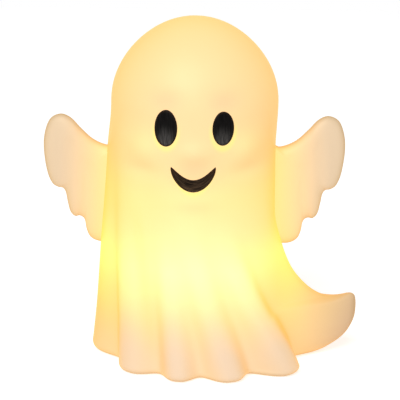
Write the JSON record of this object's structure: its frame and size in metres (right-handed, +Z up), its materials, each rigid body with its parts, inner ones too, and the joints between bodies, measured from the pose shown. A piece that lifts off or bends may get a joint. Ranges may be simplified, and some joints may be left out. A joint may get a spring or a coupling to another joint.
{
  "type": "light-up ghost figure",
  "caption": "Battery-lit translucent ghost figure with two wings, a swept tail, black eyes and mouth, and a base plate with battery door and slide switch.",
  "frame": {"origin": "on the table under the figure, midway across its width from the left wing's tip to the tail's tip; the body's axis is 4.7 mm to the left of it", "axes": "+Z up, -Y out of the face, +X toward the tail"},
  "size_m": [0.1941, 0.1314, 0.2111],
  "materials": {
    "glow_plastic": "satin translucent moulded plastic, lit warm white from inside",
    "face_black": "glossy black",
    "base_plastic": "satin cream",
    "foot_rubber": "matte",
    "steel": "zinc plated",
    "cell_sleeve": "plain printed-free sleeve",
    "dark_plastic": "satin black",
    "board_green": "satin solder mask",
    "lamp_lens": "clear warm-white lamp",
    "resistor_tan": "satin",
    "lead_red": "satin insulation"
  },
  "bodies": {
    "figure": {"front_shell": "glow_plastic", "rear_shell": "glow_plastic", "left_eye": "face_black", "right_eye": "face_black", "mouth": "face_black", "base_plate": "base_plastic", "base_screw_1": "steel", "base_screw_2": "steel", "base_screw_3": "steel", "base_screw_4": "steel", "foot_1": "foot_rubber", "foot_2": "foot_rubber", "foot_3": "foot_rubber", "foot_4": "foot_rubber", "battery_1": "cell_sleeve", "battery_2": "cell_sleeve", "battery_3": "cell_sleeve", "contact_negative": "steel", "contact_bridge_1": "steel", "contact_bridge_2": "steel", "contact_positive": "steel", "switch_body": "dark_plastic", "led_post": "base_plastic", "led_board": "board_green", "led_1": "lamp_lens", "led_2": "lamp_lens", "led_3": "lamp_lens", "led_4": "lamp_lens", "board_screw_1": "steel", "board_screw_2": "steel", "resistor": "resistor_tan", "lead_positive": "lead_red", "lead_switched": "lead_red", "lead_negative": "dark_plastic"},
    "door": {"battery_door": "base_plastic"},
    "slider": {"switch_slider": "dark_plastic"}
  },
  "joints": [
    {"name": "door_hinge", "type": "hinge", "parent": "figure", "child": "door", "pos_m": [-0.0351, 0, 0.001], "axis": [0, 1, 0], "range_deg": [0, 80]},
    {"name": "switch_slide", "type": "slide", "parent": "figure", "child": "slider", "axis": [1, 0, 0], "range_m": [-0.004, 0]}
  ]
}
